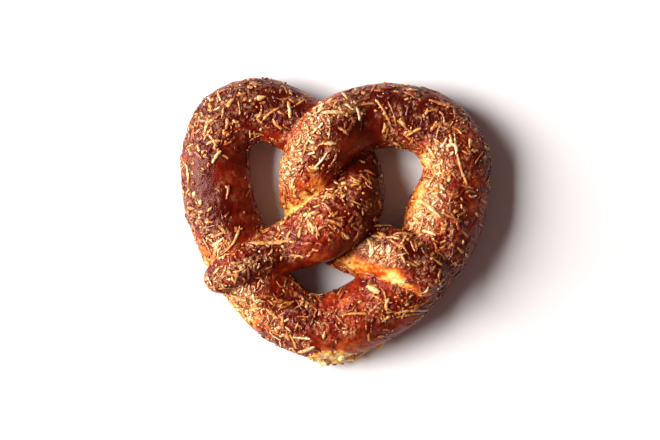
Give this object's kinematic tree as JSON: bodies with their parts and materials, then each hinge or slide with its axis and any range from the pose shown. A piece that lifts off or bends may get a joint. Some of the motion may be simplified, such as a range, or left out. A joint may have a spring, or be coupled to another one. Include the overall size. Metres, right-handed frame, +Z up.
{
  "type": "soft pretzel",
  "caption": "Soft pretzel: a baked rope of dough tied in the pretzel twist, with a glossy brown crust, a pale burst at its foot and grated cheese baked on top.",
  "frame": {"origin": "middle of the pretzel's outline, in the plane that it rests on", "axes": "+Z up from the tray, +Y towards the two round shoulders of the heart, +X towards the rope's thicker end"},
  "size_m": [0.1508, 0.1397, 0.0367],
  "materials": {
    "baked_crust": "baked bread crust, glossy chestnut brown"
  },
  "bodies": {
    "root": {"pretzel": "baked_crust"}
  },
  "joints": []
}
